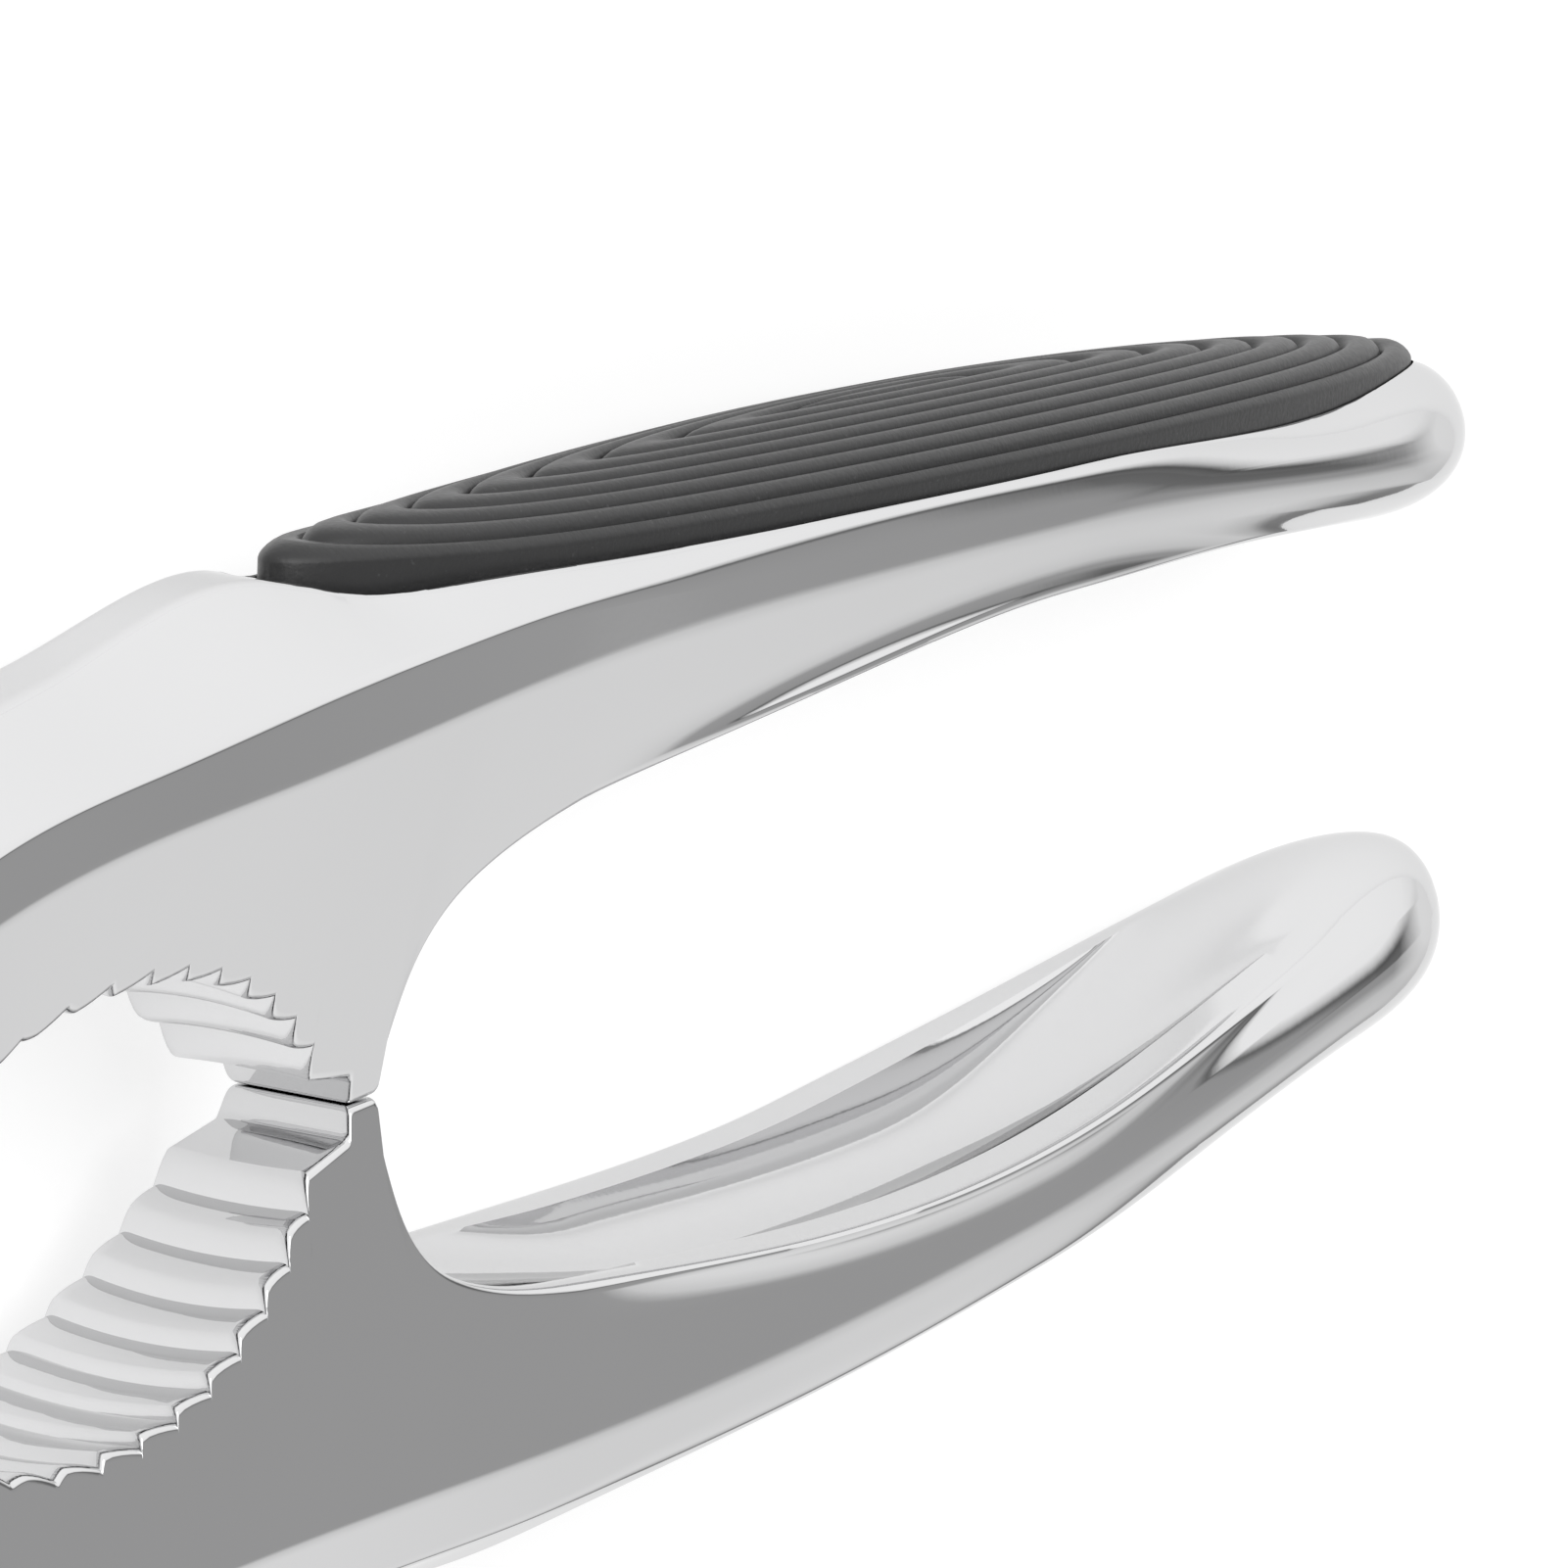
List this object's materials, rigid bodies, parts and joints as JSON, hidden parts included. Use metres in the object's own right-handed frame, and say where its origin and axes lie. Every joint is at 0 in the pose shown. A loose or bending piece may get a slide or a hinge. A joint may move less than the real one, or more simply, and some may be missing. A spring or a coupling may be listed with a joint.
{
  "type": "nutcracker",
  "caption": "Hand lever nutcracker with two mirrored chrome-plated arms on one hinge, toothed lens-shaped nut cavity, beaks and ringed rubber grip inlays.",
  "frame": {"origin": "on the resting plane under the middle of the closed nutcracker, which lies on its side", "axes": "+X from the hinge to the handle ends, +Y to the upper arm's side, +Z along the hinge axis, away from the surface it rests on"},
  "size_m": [0.1848, 0.0536, 0.017],
  "materials": {
    "polished_chrome": "mirror-polished plating on die-cast metal",
    "grip_rubber": "matte moulded rubber with concentric ridges",
    "pin_steel": "turned end faces",
    "washer_nylon": "plain natural nylon"
  },
  "bodies": {
    "lower_lever": {"lower_arm": "polished_chrome", "lower_grip": "grip_rubber", "hinge_pin": "pin_steel", "upper_washer": "washer_nylon", "lower_washer": "washer_nylon"},
    "upper_lever": {"upper_arm": "polished_chrome", "upper_grip": "grip_rubber"}
  },
  "joints": [
    {"name": "arm_hinge", "type": "hinge", "parent": "lower_lever", "child": "upper_lever", "pos_m": [-0.08428, 0, 0.0085], "axis": [0, 0, 1], "range_deg": [0, 60]}
  ]
}
